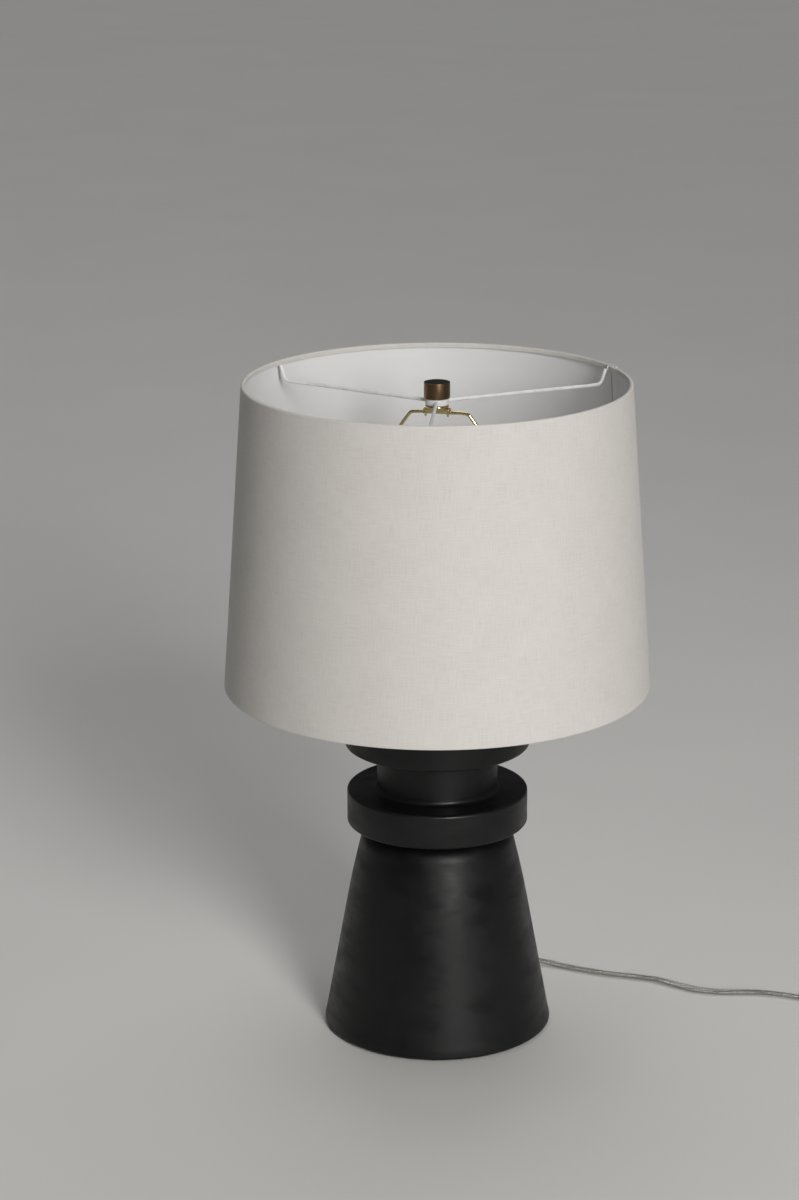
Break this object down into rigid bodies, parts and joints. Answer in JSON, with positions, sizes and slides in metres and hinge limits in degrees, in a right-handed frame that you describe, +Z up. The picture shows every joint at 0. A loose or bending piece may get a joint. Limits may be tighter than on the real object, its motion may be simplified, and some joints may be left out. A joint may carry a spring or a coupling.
{
  "type": "table lamp with shade",
  "caption": "Table lamp: a turned black cone base with a collar and neck, a brass harp and bulb socket, and a tapered drum shade held by a screw-on finial, with a clear flat cord.",
  "frame": {"origin": "on the table under the centre of the lamp, where the felt pad rests", "axes": "+Z up along the lamp's axis, -Y towards the front, +X to the lamp's right as seen from the front, where the cord runs"},
  "size_m": [0.6594, 0.3958, 0.6222],
  "materials": {
    "black_base": "matt black stain on turned wood, faintly mottled",
    "felt": "black wool felt",
    "steel": "zinc-plated steel",
    "brass": "plain lacquered brass",
    "harp_brass": "polished brass wire and strap",
    "socket_brass": "polished brass-plated shell",
    "card": "vulcanised paper sleeve",
    "phenolic": "dark moulded phenolic",
    "solder": "dull solder",
    "bulb_insulator": "black vitreous insulator",
    "nickel": "nickel-plated screw cap",
    "frosted_glass": "frosted white glass",
    "linen": "ivory linen weave",
    "lining": "white styrene lining",
    "white_wire": "white paint on steel wire",
    "bronze": "brushed antique bronze",
    "clear_plastic": "clear soft plastic",
    "clear_cord": "clear sheath over silvery stranded conductors"
  },
  "bodies": {
    "stand": {"felt_pad": "felt", "base_cone": "black_base", "base_collar": "black_base", "neck_spool": "black_base", "upper_disc": "black_base", "threaded_rod": "steel", "bottom_washer": "steel", "lock_washer": "steel", "bottom_nut": "steel", "check_ring": "brass", "neck_tube": "brass", "harp_saddle": "brass", "saddle_locknut": "brass", "harp_wire": "harp_brass", "harp_crosspiece": "harp_brass", "harp_stud": "brass", "terminal_screw_left": "brass", "terminal_screw_right": "brass", "socket_cap": "socket_brass", "socket_shell": "socket_brass", "insulating_sleeve": "card", "socket_interior": "phenolic", "screw_shell": "brass", "centre_contact": "brass", "cord_bushing": "clear_plastic", "inner_cord": "clear_cord", "cord_run": "clear_cord", "cord_tail": "clear_cord", "cord_coil": "clear_cord", "plug_body": "clear_plastic", "plug_blade_left": "brass", "plug_blade_right": "brass"},
    "switch": {"switch_shaft": "brass", "switch_knob": "phenolic"},
    "ferrule_left": {"harp_ferrule_left": "brass"},
    "ferrule_right": {"harp_ferrule_right": "brass"},
    "shade": {"shade_fabric": "linen", "shade_lining": "lining", "shade_top_ring": "white_wire", "shade_bottom_ring": "white_wire", "spider_hub": "white_wire", "spider_arm_front": "white_wire", "spider_arm_right": "white_wire", "spider_arm_left": "white_wire"},
    "finial_core": {"finial_insert": "brass"},
    "finial": {"finial_cap": "bronze"},
    "bulb_core": {"bulb_contact": "solder"},
    "bulb": {"bulb_insulator": "bulb_insulator", "bulb_screw_base": "nickel", "bulb_glass": "frosted_glass"}
  },
  "joints": [
    {"name": "switch_turn", "type": "hinge", "parent": "stand", "child": "switch", "pos_m": [-0.00484, -0.01941, 0.371], "axis": [-0.2419, -0.9703, 0], "continuous": true},
    {"name": "ferrule_left_lift", "type": "slide", "parent": "stand", "child": "ferrule_left", "axis": [0, 0, 1], "range_m": [0, 0.0205]},
    {"name": "ferrule_right_lift", "type": "slide", "parent": "stand", "child": "ferrule_right", "axis": [0, 0, 1], "range_m": [0, 0.0205]},
    {"name": "shade_swivel", "type": "hinge", "parent": "stand", "child": "shade", "pos_m": [0, 0, 0.604], "axis": [0, 0, 1], "continuous": true},
    {"name": "finial_rise", "type": "slide", "parent": "stand", "child": "finial_core", "axis": [0, 0, 1], "range_m": [0, 0.00752]},
    {"name": "finial_turn", "type": "hinge", "parent": "finial_core", "child": "finial", "pos_m": [0, 0, 0.612], "axis": [0, 0, 1], "range_deg": [0, 2880]},
    {"name": "bulb_rise", "type": "slide", "parent": "stand", "child": "bulb_core", "axis": [0, 0, 1], "range_m": [0, 0.01814]},
    {"name": "bulb_turn", "type": "hinge", "parent": "bulb_core", "child": "bulb", "pos_m": [0, 0, 0.4], "axis": [0, 0, 1], "range_deg": [0, 1800]}
  ],
  "couplings": [
    {"joint": "finial_turn", "follows": "finial_rise", "rad_per_m": 6679},
    {"joint": "bulb_turn", "follows": "bulb_rise", "rad_per_m": 1731.6}
  ]
}
